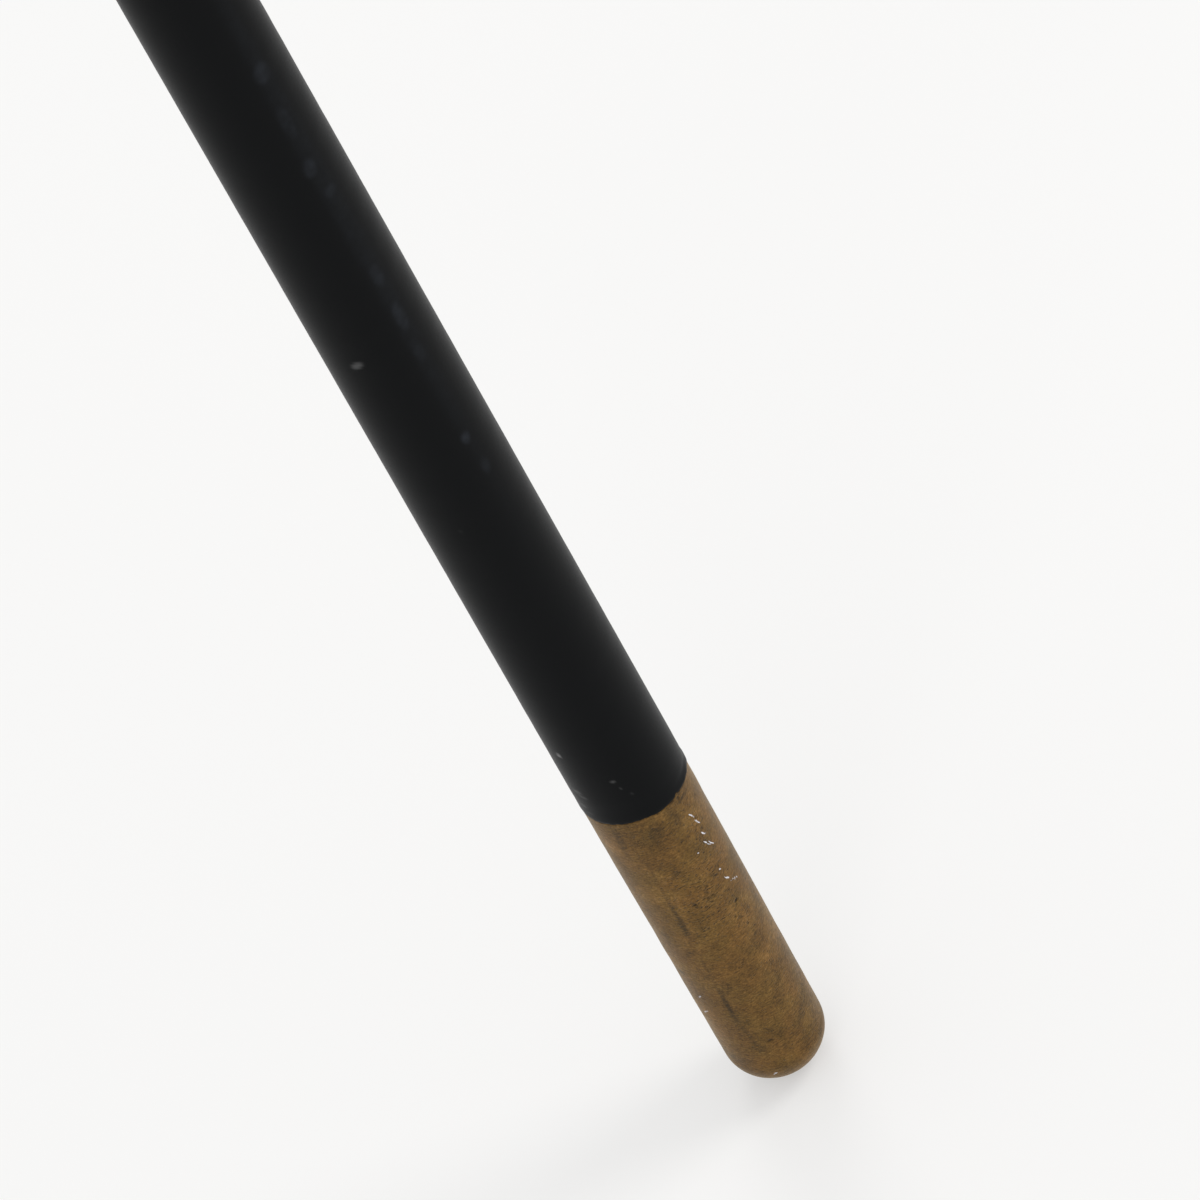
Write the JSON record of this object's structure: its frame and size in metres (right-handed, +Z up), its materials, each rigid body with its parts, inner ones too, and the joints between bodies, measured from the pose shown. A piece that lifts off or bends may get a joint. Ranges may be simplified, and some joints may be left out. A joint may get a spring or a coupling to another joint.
{
  "type": "garden dibber",
  "caption": "Hand dibber for planting holes: straight round black steel shaft, long brass nose with a rounded end, brass collar and turned wooden T grip.",
  "frame": {"origin": "tip of the rounded nose, on the axis of the shaft", "axes": "+Z up along the shaft from the nose to the grip, +X along the grip"},
  "size_m": [0.1174, 0.033, 0.3389],
  "materials": {
    "patinated_brass": "brown patina over brass, satin, with fine file marks and dark pits",
    "satin_brass": "turned and lightly dulled",
    "black_coated_steel": "satin black coating",
    "zinc_plated_steel": "zinc plated, turned",
    "oiled_ash": "turned ash, oiled"
  },
  "bodies": {
    "root": {"nose": "patinated_brass", "nose_stud": "zinc_plated_steel", "lower_plug": "zinc_plated_steel", "shaft_tube": "black_coated_steel", "upper_plug": "zinc_plated_steel", "collar": "satin_brass", "grip": "oiled_ash", "grip_stud": "zinc_plated_steel", "grip_washer": "satin_brass", "sleeve_nut": "satin_brass", "left_end_cap": "satin_brass", "right_end_cap": "satin_brass", "left_end_screw": "satin_brass", "right_end_screw": "satin_brass"}
  },
  "joints": []
}
